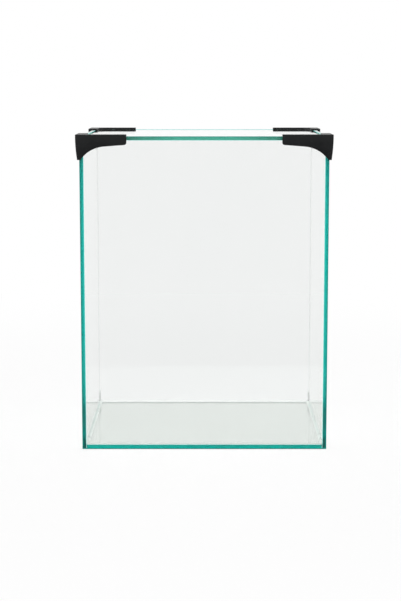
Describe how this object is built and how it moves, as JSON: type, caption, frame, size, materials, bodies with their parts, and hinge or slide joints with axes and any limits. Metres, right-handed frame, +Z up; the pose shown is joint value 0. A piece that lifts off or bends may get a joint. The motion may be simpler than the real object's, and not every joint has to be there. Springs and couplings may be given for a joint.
{
  "type": "glass hamster cage",
  "caption": "Upright frameless glass tank for a small pet, with black plastic corner clips that carry a loose cover glass.",
  "frame": {"origin": "on the ground under the middle of the tank", "axes": "+Z up, front pane towards -Y, +X to the right of someone facing the front"},
  "size_m": [0.2574, 0.2574, 0.3199],
  "materials": {
    "pane_glass": "clear float glass, green at its ground edges",
    "clear_silicone": "clear silicone rubber, smooth skin",
    "black_plastic": "satin black injection moulding"
  },
  "bodies": {
    "tank": {"bottom_pane": "pane_glass", "front_pane": "pane_glass", "rear_pane": "pane_glass", "left_pane": "pane_glass", "right_pane": "pane_glass", "seam_base_front": "clear_silicone", "seam_base_rear": "clear_silicone", "seam_base_left": "clear_silicone", "seam_base_right": "clear_silicone", "seam_front_left": "clear_silicone", "seam_front_right": "clear_silicone", "seam_rear_left": "clear_silicone", "seam_rear_right": "clear_silicone", "clip_front_left": "black_plastic", "clip_front_right": "black_plastic", "clip_rear_left": "black_plastic", "clip_rear_right": "black_plastic"},
    "cover": {"cover_glass": "pane_glass"}
  },
  "joints": [
    {"name": "cover_lift", "type": "slide", "parent": "tank", "child": "cover", "axis": [0, 0, 1], "range_m": [0, 0.12]}
  ]
}
